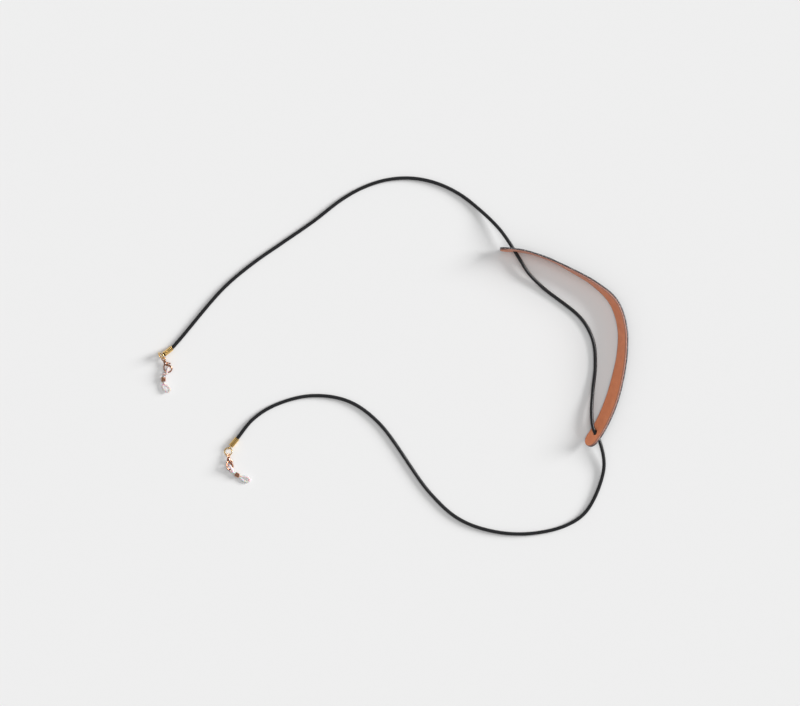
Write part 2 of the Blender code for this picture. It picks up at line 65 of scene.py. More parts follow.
# Light and floor
# Distant soft lights: azimuth, elevation and spread in degrees, strength, and whether
# polished pieces mirror the light.
LIGHTS = {
    "key": (17.0, 22.0, 24.0, 3.8, True),
    "overhead": (17.0, 85.0, 50.0, 0.87, False),
}
ZENITH_LIGHT = 0.47
HORIZON_LIGHT = 0.1
FLOOR_SIZE = 40.0
FLOOR_COLOR = (0.8, 0.8, 0.8)

# Cord: centre line from inside the left crimp to inside the right crimp, in metres
CORD_RADIUS = 0.00115
CORD_FLOOR = 0.0013
CORD_STEPS_PER_LEG = 26
CORD_SIDES = 20
# Uneven skin: noise scale, and its share of the radius.
CORD_SKIN = ((900.0, 0.012), (150.0, 0.02))
CORD_ROUTE = [
    (-0.1484, 0.0081, 0.0039),
    (-0.1449, 0.0110, 0.0018),
    (-0.1396, 0.0168, CORD_FLOOR),
    (-0.1115, 0.0498, CORD_FLOOR),
    (-0.0930, 0.0656, CORD_FLOOR),
    (-0.0730, 0.0796, CORD_FLOOR),
    (-0.0530, 0.0934, CORD_FLOOR),
    (-0.0337, 0.1082, CORD_FLOOR),
    (-0.0195, 0.1160, CORD_FLOOR),
    (-0.0040, 0.1208, CORD_FLOOR),
    (0.0122, 0.1216, CORD_FLOOR),
    (0.0280, 0.1182, CORD_FLOOR),
    (0.0426, 0.1111, CORD_FLOOR),
    (0.0560, 0.1006, 0.0020),
    (0.0670, 0.0899, 0.0043),
    (0.0732, 0.0818, 0.0056),
    (0.0816, 0.0686, 0.0056),
    (0.0870, 0.0601, 0.0042),
    (0.0962, 0.0508, 0.0020),
    (0.1213, 0.0305, CORD_FLOOR),
    (0.1290, 0.0163, CORD_FLOOR),
    (0.1305, 0.0001, CORD_FLOOR),
    (0.1289, -0.0161, 0.0023),
    (0.1280, -0.0315, 0.0044),
    (0.12915, -0.0410, 0.00525),
    (0.13305, -0.04865, 0.00525),
    (0.1360, -0.0670, 0.0022),
    (0.1253, -0.0939, CORD_FLOOR),
    (0.1123, -0.1036, CORD_FLOOR),
    (0.0885, -0.1092, CORD_FLOOR),
    (0.0642, -0.1078, CORD_FLOOR),
    (0.0420, -0.0998, CORD_FLOOR),
    (0.0233, -0.0831, CORD_FLOOR),
    (-0.0105, -0.0370, CORD_FLOOR),
    (-0.0304, -0.0231, CORD_FLOOR),
    (-0.0545, -0.0197, CORD_FLOOR),
    (-0.0779, -0.0259, CORD_FLOOR),
    (-0.0922, -0.0352, CORD_FLOOR),
    (-0.1021, -0.0474, 0.0017),
    (-0.1055, -0.0515, 0.0017),
]

# Neck band, in millimetres: the line its bottom edge stands on, with its lean in degrees
BAND_LINE = [
    (68.5, 75.0, 6.0),
    (84.0, 74.0, 1.5),
    (99.5, 69.7, -2.5),
    (114.6, 61.7, 3.3),
    (129.6, 52.1, 10.0),
    (141.2, 39.2, 21.8),
    (145.7, 24.0, 24.5),
    (145.3, 8.3, 28.0),
    (142.0, -7.3, 34.5),
    (137.4, -22.5, 38.5),
    (130.9, -37.2, 38.5),
    (122.5, -50.2, 38.0),
]
BAND_PLY = 0.95
BAND_GLUE = 0.1
BAND_WIDTH = 11.5
BAND_END_ROUND = 5.75
BAND_TIP_FRACTION = 0.1
BAND_LIFT = 0.05
BAND_CURVE_STEPS = 12
BAND_ROWS = 240
BAND_STEP = 1.0
BAND_ROUND_STEPS = 16
BAND_FACE_POINTS = 12
BAND_EDGE_RADIUS = 0.26
BAND_EDGE_POINTS = 5
BAND_RIM = 0.45
# Share of the cut edge's colour carried onto the faces beside it: edge stain, and on the black
# ply its painted glint flecks too.
BAND_RIM_STAIN = 0.4
# Size of the light flecks on the cut edges: fibres on the lining, painted glints on the black
# ply.
FIBRE_AND_GLINT_SCALE = 1400.0
BAND_WAVER = 0.02
BAND_WAVER_SCALE = 0.12
BAND_HOLE_RADIUS = 1.75
BAND_PUNCH_HALF_LENGTH = 8.0
# Centre of each hole, and the cord's heading through it in degrees.
BAND_HOLES = [((77.4, 75.2, 5.8), -57.5), ((131.1, -44.8, 5.3), -63.0)]

# Fold-over crimp, in millimetres about the centre of its eye, X pointing off the cord
CRIMP_MIDDLE_RADIUS = 1.48
CRIMP_SHEET = 0.34
CRIMP_FOLD_DEG = 66.0
CRIMP_ARC_POINTS = 26
CRIMP_LIP_RADIUS = 0.3
CRIMP_LIP_TURN_DEG = 100.0
CRIMP_LIP_POINTS = 9
CRIMP_MOUTH_X = -8.0
CRIMP_SHELL_END_X = -1.35
CRIMP_EYE_RADIUS = 1.05
CRIMP_EYE_WIRE = 0.32
CRIMP_MOUTH_FLARE = (0.35, 0.08)
# Tongue from the shell up to the eye: its path in x and z, and its half widths.
CRIMP_TONGUE = [(-2.6, -1.42), (-1.9, -1.35), (-1.35, -0.9), (-1.08, -0.3), (-1.05, 0.2)]
CRIMP_TONGUE_X = (-2.2, -1.1)
CRIMP_TONGUE_WIDTHS = (0.75, 0.35)
CRIMP_TONGUE_THICKNESS = 0.26

# Split ring
RING_RADIUS = 2.5
RING_WIRE = 0.36
RING_SPLIT_DEG = 3.0

# Lobster clasp: x, y, half width, half thickness, from its eye to the hook's tip
CLASP_EYE_RADIUS = 1.1
CLASP_EYE_WIRE = 0.35
CLASP_STATIONS = [
    (0.9, 0.0, 0.5, 0.5),
    (1.6, 0.05, 0.95, 0.9),
    (2.5, 0.15, 1.25, 1.05),
    (3.5, 0.4, 1.3, 1.05),
    (4.4, 1.1, 1.0, 0.95),
    (5.2, 2.0, 0.75, 0.8),
    (6.1, 2.75, 0.62, 0.68),
    (7.2, 3.05, 0.56, 0.6),
    (8.3, 2.65, 0.5, 0.54),
    (9.0, 1.75, 0.48, 0.5),
    (9.25, 0.7, 0.48, 0.5),
    (9.0, -0.5, 0.46, 0.47),
    (8.35, -1.4, 0.4, 0.42),
]
CLASP_SLOT = ((1.85, -4.0, -0.5), (4.75, 4.0, 0.5))
LEVER_PIVOT = (3.1, 0.15)
LEVER_HUB_RADIUS = 0.72
LEVER_HALF_THICKNESS = 0.36
LEVER_BORE_RADIUS = 0.38
LEVER_STATIONS = [
    (7.5, -1.6, 0.34, 0.36),
    (6.6, -1.72, 0.4, 0.36),
    (5.4, -1.55, 0.42, 0.36),
    (4.2, -1.0, 0.46, 0.36),
    (3.1, 0.15, 0.6, 0.36),
    (3.0, 1.1, 0.42, 0.36),
    (3.3, 2.0, 0.36, 0.36),
    (3.9, 2.75, 0.34, 0.36),
]
LEVER_KNOB = (4.05, 2.95)
LEVER_KNOB_RADIUS = 0.5
RIVET_HALF_LENGTH = 1.06
# Profile of the rivet's head: distance past the casting's face, and radius.
RIVET_HEAD = [(-0.06, 0.3), (0.0, 0.5), (0.07, 0.42), (0.12, 0.28), (0.16, 0.02)]

# Collar on each silicone loop
COLLAR_HALF_LENGTH = 1.45
COLLAR_BORE = 1.16
COLLAR_OUTER = 1.4
COLLAR_ROUND = 0.12
COLLAR_ROUND_POINTS = 9

CAST_VOXEL = 0.07
CAST_SMOOTHING = 4


# ---------------------------------------------------------------- materials


def shader_of(name, color, roughness, metallic=0.0):
    mat = bpy.data.materials.new(name)
    mat.use_nodes = True
    shader = mat.node_tree.nodes["Principled BSDF"]
    shader.inputs["Base Color"].default_value = (*color, 1.0)
    shader.inputs["Roughness"].default_value = roughness
    shader.inputs["Metallic"].default_value = metallic
    return mat, shader


def texture(mat, kind, **values):
    """A texture node on object coordinates, which are in metres."""
    tree = mat.node_tree
    node = tree.nodes.new(kind)
    place = tree.nodes.get("Texture Coordinate") or tree.nodes.new("ShaderNodeTexCoord")
    tree.links.new(place.outputs["Object"], node.inputs["Vector"])
    for key, value in values.items():
        if key in node.inputs:
            node.inputs[key].default_value = value
        else:
            setattr(node, key, value)
    return node


def ramp(mat, source, stops):
    """Colour ramp fed by a socket; stops are (position, colour)."""
    node = mat.node_tree.nodes.new("ShaderNodeValToRGB")
    elements = node.color_ramp.elements
    while len(elements) < len(stops):
        elements.new(0.5)
    for element, (position, color) in zip(elements, stops):
        element.position = position
        element.color = (*color, 1.0)
    mat.node_tree.links.new(source, node.inputs["Fac"])
    return node.outputs["Color"]


def remap(mat, source, low, high):
    """Value 0..1 carried to low..high."""
    node = mat.node_tree.nodes.new("ShaderNodeMapRange")
    node.inputs["To Min"].default_value = low
    node.inputs["To Max"].default_value = high
    mat.node_tree.links.new(source, node.inputs["Value"])
    return node.outputs["Result"]


def mix_color(mat, factor, first, second, blend="MIX"):
    """Mix of two colour sockets or tuples."""
    node = mat.node_tree.nodes.new("ShaderNodeMix")
    node.data_type = "RGBA"
    node.blend_type = blend
    sockets = {socket.identifier: socket for socket in node.inputs}
    for name, value in (("Factor_Float", factor), ("A_Color", first), ("B_Color", second)):
        if isinstance(value, bpy.types.NodeSocket):
            mat.node_tree.links.new(value, sockets[name])
        elif isinstance(value, tuple):
            sockets[name].default_value = (*value, 1.0)
        else:
            sockets[name].default_value = value
    return next(s for s in node.outputs if s.identifier == "Result_Color")


def bump(mat, height, strength, depth_mm, below=None):
    """Bump of the given depth; below is a bump to stack on."""
    node = mat.node_tree.nodes.new("ShaderNodeBump")
    node.inputs["Strength"].default_value = strength
    node.inputs["Distance"].default_value = depth_mm * MM
    mat.node_tree.links.new(height, node.inputs["Height"])
    if below is not None:
        mat.node_tree.links.new(below, node.inputs["Normal"])
    return node.outputs["Normal"]


def attribute(mat, name):
    node = mat.node_tree.nodes.new("ShaderNodeAttribute")
    node.attribute_name = name
    return node.outputs["Fac"]


def leather(name, dark, light, edge, edge_fibres_and_glints, roughness, grain_mm, grain_depth_mm, sheen):
    """Grained leather: pebbled cells, creases, mottling, and cut edges with light flecks: loose
    fibres, and on black leather painted glints.
    """
    mat, shader = shader_of(name, light, roughness[0])
    link = mat.node_tree.links.new
    mottle = texture(mat, "ShaderNodeTexNoise", Scale=220.0, Detail=5.0, Roughness=0.6)
    cells = texture(
        mat,
        "ShaderNodeTexVoronoi",
        feature="DISTANCE_TO_EDGE",
        Scale=1.0 / (grain_mm * MM),
        Randomness=0.9,
    )
    creases = texture(
        mat, "ShaderNodeTexNoise", Scale=0.45 / (grain_mm * MM), Detail=8.0, Roughness=0.65
    )
    pores = texture(mat, "ShaderNodeTexNoise", Scale=3.0 / (grain_mm * MM), Detail=3.0)
    body = ramp(mat, mottle.outputs["Fac"], [(0.3, dark), (0.7, light)])
    valley = ramp(mat, cells.outputs["Distance"], [(0.0, dark), (0.12, (1.0, 1.0, 1.0))])
    grained = mix_color(mat, 0.35, body, valley, "MULTIPLY")
    # Light flecks on the cut edges: loose fibres, and on black leather painted glints of the key
    # light on the grain.
    fibre_and_glint_noise = texture(mat, "ShaderNodeTexNoise", Scale=FIBRE_AND_GLINT_SCALE, Detail=2.0, Roughness=0.7)
    cut_edge = ramp(mat, fibre_and_glint_noise.outputs["Fac"], [(0.53, edge), (0.66, edge_fibres_and_glints)])
    color = mix_color(mat, attribute(mat, "rim"), grained, cut_edge)
    link(color, shader.inputs["Base Color"])
    link(remap(mat, creases.outputs["Fac"], *roughness), shader.inputs["Roughness"])
    raised = bump(mat, cells.outputs["Distance"], 0.6, grain_depth_mm)
    raised = bump(mat, creases.outputs["Fac"], 0.5, grain_depth_mm * 1.5, raised)
    raised = bump(mat, pores.outputs["Fac"], 0.35, grain_depth_mm * 0.4, raised)
    link(raised, shader.inputs["Normal"])
    shader.inputs["Sheen Weight"].default_value = sheen
    shader.inputs["Sheen Roughness"].default_value = 0.45
    return mat


def plated(name, color, shade, roughness):
    """Polished plating with faint tarnish in random clouds and fine polishing marks."""
    mat, shader = shader_of(name, color, roughness[0], 1.0)
    link = mat.node_tree.links.new
    cloud = texture(mat, "ShaderNodeTexNoise", Scale=900.0, Detail=4.0, Roughness=0.6)
    marks = texture(mat, "ShaderNodeTexNoise", Scale=6000.0, Detail=2.0)
    link(
        ramp(mat, cloud.outputs["Fac"], [(0.32, shade), (0.6, color)]),
        shader.inputs["Base Color"],
    )
    link(remap(mat, cloud.outputs["Fac"], *roughness), shader.inputs["Roughness"])
    link(bump(mat, marks.outputs["Fac"], 0.2, 0.01), shader.inputs["Normal"])
    return mat


def silicone_material():
    """Milky silicone that lets some light through, with a satin skin."""
    mat, shader = shader_of("milky_silicone", (0.66, 0.62, 0.625), 0.45)
    link = mat.node_tree.links.new
    cloud = texture(mat, "ShaderNodeTexNoise", Scale=500.0, Detail=3.0)
    skin = texture(mat, "ShaderNodeTexNoise", Scale=4000.0, Detail=3.0)
    link(
        ramp(mat, cloud.outputs["Fac"], [(0.3, (0.62, 0.58, 0.585)), (0.7, (0.69, 0.66, 0.665))]),
        shader.inputs["Base Color"],
    )
    link(remap(mat, skin.outputs["Fac"], 0.38, 0.52), shader.inputs["Roughness"])
    link(bump(mat, skin.outputs["Fac"], 0.15, 0.02), shader.inputs["Normal"])
    shader.inputs["IOR"].default_value = 1.41
    shader.inputs["Specular IOR Level"].default_value = 0.35
    shader.inputs["Subsurface Weight"].default_value = 0.6
    shader.inputs["Subsurface Scale"].default_value = 0.0025
    return mat


def floor_material():
    mat, shader = shader_of("floor_paint", FLOOR_COLOR, 0.9)
    shader.inputs["Specular IOR Level"].default_value = 0.0
    return mat


def make_materials():
    return {
        "cord": leather(
            "cord_leather",
            dark=(0.005, 0.005, 0.006),
            light=(0.012, 0.012, 0.014),
            edge=(0.01, 0.01, 0.011),
            edge_fibres_and_glints=(0.02, 0.02, 0.022),
            roughness=(0.24, 0.36),
            grain_mm=0.32,
            grain_depth_mm=0.02,
            sheen=0.0,
        ),
        "outer": leather(
            "outer_leather",
            dark=(0.009, 0.009, 0.01),
            light=(0.026, 0.025, 0.027),
            edge=(0.042, 0.041, 0.046),
            # The light grey flecks on this black cut edge are painted glints of the low key light
            # on the grain.
            edge_fibres_and_glints=(0.42, 0.4, 0.4),
            roughness=(0.36, 0.55),
            grain_mm=0.5,
            grain_depth_mm=0.05,
            sheen=0.08,
        ),
        "lining": leather(
            "lining_leather",
            dark=(0.86, 0.29, 0.13),
            light=(0.97, 0.35, 0.16),
            edge=(0.32, 0.14, 0.1),
            edge_fibres_and_glints=(0.5, 0.3, 0.24),
            roughness=(0.55, 0.72),
            grain_mm=0.42,
            grain_depth_mm=0.03,
            sheen=0.12,
        ),
        "gold": plated("gold_plating", (1.0, 0.7, 0.28), (0.84, 0.5, 0.16), (0.1, 0.2)),
        "rose": plated("rose_plating", (0.6, 0.31, 0.2), (0.38, 0.18, 0.11), (0.12, 0.24)),
        "steel": plated("bare_steel", (0.62, 0.62, 0.64), (0.4, 0.4, 0.42), (0.25, 0.4)),
        "silicone": silicone_material(),
        "floor": floor_material(),
    }


# ---------------------------------------------------------------- shape tools


def smooth_curve(points, steps):
    """Points on a centripetal Catmull-Rom curve, steps to each leg."""
    pts = [np.array(p, dtype=float) for p in points]
    chain = [2 * pts[0] - pts[1], *pts, 2 * pts[-1] - pts[-2]]
    out = []
    for a, b, c, d in zip(chain, chain[1:], chain[2:], chain[3:]):
        t1 = np.linalg.norm(b - a) ** 0.5
        t2 = t1 + np.linalg.norm(c - b) ** 0.5
        t3 = t2 + np.linalg.norm(d - c) ** 0.5
        for i in range(steps):
            t = t1 + (t2 - t1) * i / steps
            ab = (a * (t1 - t) + b * t) / t1
            bc = (b * (t2 - t) + c * (t - t1)) / (t2 - t1)
            cd = (c * (t3 - t) + d * (t - t2)) / (t3 - t2)
            abc = (ab * (t2 - t) + bc * t) / t2
            bcd = (bc * (t3 - t) + cd * (t - t1)) / (t3 - t1)
            out.append((abc * (t2 - t) + bcd * (t - t1)) / (t2 - t1))
    out.append(pts[-1])
    return np.array(out)


def tangents(points):
    steps = np.gradient(points, axis=0)
    return steps / np.linalg.norm(steps, axis=1)[:, None]


def even_points(points, count):
    """The same open curve, cut at even distances."""
    steps = np.linalg.norm(np.diff(points, axis=0), axis=1)
    run = np.r_[0.0, np.cumsum(steps)]
    wanted = np.linspace(0.0, run[-1], count)
    return np.stack([np.interp(wanted, run, column) for column in points.T], axis=1)


def loft(bm, sections, closed=False):
    """Skin rings of points that all have the same count; open lofts get end caps."""
    rings = [[bm.verts.new(point) for point in section] for section in sections]
    pairs = list(zip(rings, rings[1:]))
    if closed:
        pairs.append((rings[-1], rings[0]))
    for first, second in pairs:
        for i in range(len(first)):
            j = (i + 1) % len(first)
            bm.faces.new((first[i], first[j], second[j], second[i]))
    if not closed:
        bm.faces.new(rings[0])
        bm.faces.new(reversed(rings[-1]))
    return rings


def ellipse(centre, across, up, half_width, half_height, count):
    angles = [TAU * i / count for i in range(count)]
    return [
        centre + across * (half_width * math.cos(a)) + up * (half_height * math.sin(a))
        for a in angles
    ]


def add_bar(bm, stations, steps, sides):
    """A rounded bar along a flat path of (x, y, half width, half thickness)."""
    rows = smooth_curve(stations, steps)
    path = np.c_[rows[:, :2], np.zeros(len(rows))]
    sections = []
    for (x, y, width, height), way in zip(rows, tangents(path)):
        across = Vector((-way[1], way[0], 0.0))
        sections.append(ellipse(Vector((x, y, 0.0)), across, UP, width, height, sides))
    loft(bm, sections)


def add_torus(bm, radius, wire, turn, steps=64, sides=16, split_deg=0.0):
    """A ring of round wire; turn is a 3x3 matrix, and a split leaves two cut ends."""
    closed = split_deg == 0.0
    first = math.radians(split_deg / 2)
    sweep = TAU - 2.0 * first
    sections = []
    for i in range(steps if closed else steps + 1):
        a = first + sweep * i / steps
        out = Vector((math.cos(a), math.sin(a), 0.0))
        section = ellipse(out * radius, out, UP, wire, wire, sides)
        sections.append([turn @ point for point in section])
    loft(bm, sections, closed)


def add_turned(bm, profile, place=Matrix.Identity(4), sides=48):
    """A closed profile of (distance along Z, radius), turned about Z."""
    sections = []
    for i in range(sides):
        a = TAU * i / sides
        out = Vector((math.cos(a), math.sin(a), 0.0))
        sections.append([place @ (UP * z + out * r) for z, r in profile])
    loft(bm, sections, closed=True)


def add_cylinder(bm, radius, half_length, centre=(0.0, 0.0, 0.0), sides=32):
    bmesh.ops.create_cone(
        bm,
        cap_ends=True,
        segments=sides,
        radius1=radius,
        radius2=radius,
        depth=2.0 * half_length,
        matrix=Matrix.Translation(centre),
    )


def add_ball(bm, radii, centre):
    scale = Matrix.Diagonal((*radii, 1.0))
    bmesh.ops.create_uvsphere(
        bm, u_segments=32, v_segments=16, radius=1.0, matrix=Matrix.Translation(centre) @ scale
    )


def add_block(bm, corners):
    low, high = (Vector(corner) for corner in corners)
    scale = Matrix.Diagonal((*(high - low), 1.0))
    bmesh.ops.create_cube(bm, size=1.0, matrix=Matrix.Translation((high + low) / 2) @ scale)


def raw_object(name, bm):
    """An object in the mesh's own units, in the scene so that modifiers can run."""
    bmesh.ops.recalc_face_normals(bm, faces=bm.faces)
    mesh = bpy.data.meshes.new(name)
    bm.to_mesh(mesh)
    bm.free()
    obj = bpy.data.objects.new(name, mesh)
    bpy.context.scene.collection.objects.link(obj)
    return obj


def cut(obj, tool):
    modifier = obj.modifiers.new("cut", "BOOLEAN")
    modifier.operation = "DIFFERENCE"
    modifier.solver = "EXACT"
    modifier.object = tool


def settle(obj, tools=()):
    """Apply an object's modifiers and remove the tools they used."""
    bpy.context.view_layer.update()
    shown = obj.evaluated_get(bpy.context.evaluated_depsgraph_get())
    mesh = bpy.data.meshes.new_from_object(shown)
    old = obj.data
    obj.modifiers.clear()
    obj.data = mesh
    bpy.data.meshes.remove(old)
    for tool in tools:
        bpy.data.objects.remove(tool, do_unlink=True)


def cast(name, bm, cutters):
    """One smooth casting in millimetres: lumps merged, cutters taken out, edges softened."""
    obj = raw_object(name, bm)
    tools = [raw_object(f"{name}_tool", cutter) for cutter in cutters]
    remesh = obj.modifiers.new("merge", "REMESH")
    remesh.mode = "VOXEL"
    remesh.voxel_size = CAST_VOXEL
    for tool in tools:
        cut(obj, tool)
    again = obj.modifiers.new("soften", "REMESH")
    again.mode = "VOXEL"
    again.voxel_size = CAST_VOXEL
    smooth = obj.modifiers.new("polish", "SMOOTH")
    smooth.factor = 0.5
    smooth.iterations = CAST_SMOOTHING
    settle(obj, tools)
    return obj


def place_piece(obj, place, mat, body, node, smooth_deg=180.0):
    """Scale a piece in millimetres into place, hang it on its body and hide the CAD part it
    replaces.
    """
    obj.data.transform(place @ Matrix.Scale(MM, 4))
    dress(obj, mat, body, node, smooth_deg)


def dress(obj, mat, body, node, smooth_deg=180.0):
    mesh = obj.data
    mesh.materials.clear()
    mesh.materials.append(mat)
    mesh.shade_smooth()
    if smooth_deg < 180.0:
        mesh.set_sharp_from_angle(angle=math.radians(smooth_deg))
    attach(obj, body)
    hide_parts(node)


def placement(origin, x_axis, z_axis):
    """Matrix with X along x_axis and Z as near z_axis as it can be; origin in metres."""
    x = Vector(x_axis).normalized()
    y = Vector(z_axis).cross(x).normalized()
    z = x.cross(y)
    place = Matrix((x, y, z)).transposed().to_4x4()
    place.translation = Vector(origin)
    return place


def joint_point(name):
    return Vector(JOINTS[name]["pos_m"])


def joint_axis(name):
    return Vector(JOINTS[name]["axis"])


def node_middle(node):
    """Mean of a CAD node's corners."""
    verts = frame["nodes"][node].data.vertices
    return sum((vert.co for vert in verts), Vector()) / len(verts)


# ---------------------------------------------------------------- pieces


def make_cord(mats):
    """Round leather lace with a slightly uneven skin."""
    line = smooth_curve(CORD_ROUTE, CORD_STEPS_PER_LEG)
    ways = tangents(line)
    across = UP.cross(Vector(ways[0])).normalized()
    sections = []
    for centre, way in zip(line, ways):
        way = Vector(way)
        across = (across - way * across.dot(way)).normalized()
        up = way.cross(across)
        section = []
        for i in range(CORD_SIDES):
            a = TAU * i / CORD_SIDES
            out = across * math.cos(a) + up * math.sin(a)
            spot = Vector(centre) + out * CORD_RADIUS
            skin = sum(noise.noise(spot * scale) * share for scale, share in CORD_SKIN)
            section.append(Vector(centre) + out * (CORD_RADIUS * (1.0 + skin)))
        sections.append(section)
    bm = bmesh.new()
    loft(bm, sections)
    cord = raw_object("lace", bm)
    dress(cord, mats["cord"], "cord_and_crimps", "leather_cord", 60.0)


def band_base():
    """Rows along the band's standing edge: x, y, lean, and the two parts of the way along."""
    line = even_points(smooth_curve(BAND_LINE, BAND_CURVE_STEPS), BAND_ROWS)
    return np.c_[line, tangents(line[:, :2])]


def band_frame(base, along):
    """Middle of the band's width there, its rise and its outward face."""
    spot = along * (len(base) - 1)
    x, y, lean_deg, way_x, way_y = (
        np.interp(spot, range(len(base)), column) for column in base.T
    )
    outward = Vector((-way_y, way_x, 0.0)).normalized()
    lean = math.radians(lean_deg)
    rise = outward * math.sin(lean) + UP * math.cos(lean)
    face = outward * math.cos(lean) - UP * math.sin(lean)
    stand = (BAND_PLY + BAND_GLUE / 2) * abs(math.sin(lean)) + BAND_LIFT
    middle = Vector((x, y, stand)) + rise * (BAND_WIDTH / 2)
    return middle, rise, face


def band_places(length):
    """Places along the band, 0..1: close together round the ends."""
    ends = [
        BAND_END_ROUND * (1.0 - math.cos(math.pi / 2 * i / BAND_ROUND_STEPS)) / length
        for i in range(BAND_ROUND_STEPS + 1)
    ]
    count = int((length - 2 * BAND_END_ROUND) / BAND_STEP)
    middle = np.linspace(ends[-1], 1.0 - ends[-1], count)[1:-1]
    return [*ends, *middle, *(1.0 - e for e in reversed(ends))]


def ply_outline(half, inner, outer):
    """Rounded rectangle of (across, offset, rim) points; rim is 1 on the cut edges."""
    r = min(BAND_EDGE_RADIUS, half * 0.5)
    points = []
    for sign, low, high in ((1.0, inner, outer), (-1.0, outer, inner)):
        turn = 1.0 if high > low else -1.0
        for i in range(BAND_FACE_POINTS):
            w = -sign * (half - r) + sign * 2.0 * (half - r) * i / BAND_FACE_POINTS
            depth = half - abs(w)
            points.append((w, low, max(0.0, 1.0 - depth / BAND_RIM) * BAND_RIM_STAIN))
        for i in range(BAND_EDGE_POINTS + 1):
            a = math.pi / 2 * i / BAND_EDGE_POINTS
            points.append(
                (sign * (half - r + r * math.sin(a)), low + turn * r * (1 - math.cos(a)), 1.0)
            )
        for i in range(BAND_EDGE_POINTS):
            a = math.pi / 2 * i / BAND_EDGE_POINTS
            points.append(
                (sign * (half - r + r * math.cos(a)), high - turn * r * (1 - math.sin(a)), 1.0)
            )
    return points


def make_ply(name, base, inner, outer, mat, node):
    length = np.linalg.norm(np.diff(base[:, :2], axis=0), axis=1).sum()
    sections = []
    rims = []
    for along in band_places(length):
        middle, rise, face = band_frame(base, along)
        half = BAND_WIDTH / 2
        to_end = min(along, 1.0 - along) * length
        if to_end < BAND_END_ROUND:
            reach = 1.0 - to_end / BAND_END_ROUND
            half *= max(math.sqrt(1.0 - reach**2), BAND_TIP_FRACTION)
        section = []
        for across, offset, rim in ply_outline(half, inner, outer):
            spot = middle + rise * across + face * offset
            waver = noise.noise(spot * BAND_WAVER_SCALE) * BAND_WAVER * (1.0 - rim)
            section.append(spot + face * waver)
            rims.append(max(rim, 1.0 - to_end / BAND_RIM))
        sections.append(section)
    bm = bmesh.new()
    loft(bm, sections)
    ply = raw_object(name, bm)
    rim_layer = ply.data.attributes.new("rim", "FLOAT", "POINT")
    rim_layer.data.foreach_set("value", rims)
    tools = []
    for centre, heading_deg in BAND_HOLES:
        hole = bmesh.new()
        add_cylinder(hole, BAND_HOLE_RADIUS, BAND_PUNCH_HALF_LENGTH, sides=48)
        tool = raw_object(f"{name}_punch", hole)
        heading = math.radians(heading_deg)
        way = Vector((math.cos(heading), math.sin(heading), 0.0))
        turn = UP.rotation_difference(way).to_matrix().to_4x4()
        tool.matrix_world = Matrix.Translation(centre) @ turn
        cut(ply, tool)
        tools.append(tool)
    settle(ply, tools)
    place_piece(ply, Matrix.Identity(4), mat, "neck_band", node, 40.0)


def make_band(mats):
    base = band_base()
    glue = BAND_GLUE / 2
    make_ply(
        "outer_ply", base, glue, glue + BAND_PLY, mats["outer"], "band_outer"
    )
    make_ply(
        "lining_ply", base, -glue - BAND_PLY, -glue, mats["lining"], "band_lining"
    )


def crimp_section(grow):
    """Outline of the folded sheet across the cord: two flaps whose lips turn in on top."""
    fold = math.radians(CRIMP_FOLD_DEG)
    r = CRIMP_MIDDLE_RADIUS + grow
    last = math.pi / 2 + fold
    side = [
        (r * math.sin(a), -r * math.cos(a)) for a in np.linspace(0.0, last, CRIMP_ARC_POINTS)
    ]
    lip = CRIMP_LIP_RADIUS
    hub_y = side[-1][0] - math.sin(last) * lip
    hub_z = side[-1][1] + math.cos(last) * lip
    start = math.atan2(side[-1][1] - hub_z, side[-1][0] - hub_y)
    for turn in np.linspace(0.0, math.radians(CRIMP_LIP_TURN_DEG), CRIMP_LIP_POINTS)[1:]:
        a = start + turn
        side.append((hub_y + lip * math.cos(a), hub_z + lip * math.sin(a)))
    middle = np.array([(-y, z) for y, z in reversed(side[1:])] + side)
    normals = tangents(middle)[:, ::-1] * (1.0, -1.0)
    half = CRIMP_SHEET / 2
    return [*(middle + normals * half), *reversed(middle - normals * half)]


def make_crimp(side, mats):
    """Folded sheet with a tongue rising to its eye."""
    bm = bmesh.new()
    sections = []
    run, flare = CRIMP_MOUTH_FLARE
    for x, grow in ((CRIMP_MOUTH_X, flare), (CRIMP_MOUTH_X + run, 0.0), (CRIMP_SHELL_END_X, 0.0)):
        sections.append([Vector((x, y, z)) for y, z in crimp_section(grow)])
    loft(bm, sections)
    tongue = smooth_curve(CRIMP_TONGUE, 6)
    across = Vector((0.0, 1.0, 0.0))
    rows = []
    for (x, z), way in zip(tongue, tangents(tongue)):
        width = np.interp(x, CRIMP_TONGUE_X, CRIMP_TONGUE_WIDTHS)
        normal = Vector((-way[1], 0.0, way[0]))
        spot = Vector((x, 0.0, z))
        rows.append(ellipse(spot, across, normal, width, CRIMP_TONGUE_THICKNESS, 20))
    loft(bm, rows)
    upright = Matrix.Rotation(math.pi / 2, 3, "X")
    add_torus(bm, CRIMP_EYE_RADIUS, CRIMP_EYE_WIRE, upright)
    crimp = cast(f"{side}_cord_end", bm, [])
    eye = joint_point(f"{side}_ring_swing")
    inside = Vector(CORD_ROUTE[1] if side == "left" else CORD_ROUTE[-2])
    place = placement(eye, eye - inside, UP)
    place_piece(crimp, place, mats["gold"], "cord_and_crimps", f"{side}_crimp")


def make_ring(side, mats):
    """Split ring of round wire, centred on the CAD ring."""
    node = f"{side}_jump_ring"
    held = joint_point(f"{side}_ring_swing")
    wire_way = joint_axis(f"{side}_ring_swing")
    centre = held + (node_middle(node) - held).normalized() * RING_RADIUS * MM
    to_held = held - centre
    place = placement(centre, wire_way, to_held.cross(wire_way))
    bm = bmesh.new()
    add_torus(bm, RING_RADIUS, RING_WIRE, Matrix.Identity(3), 96, 20, RING_SPLIT_DEG)
    ring = raw_object(f"{side}_split_ring", bm)
    place_piece(ring, place, mats["gold"], f"{side}_ring", node, 40.0)


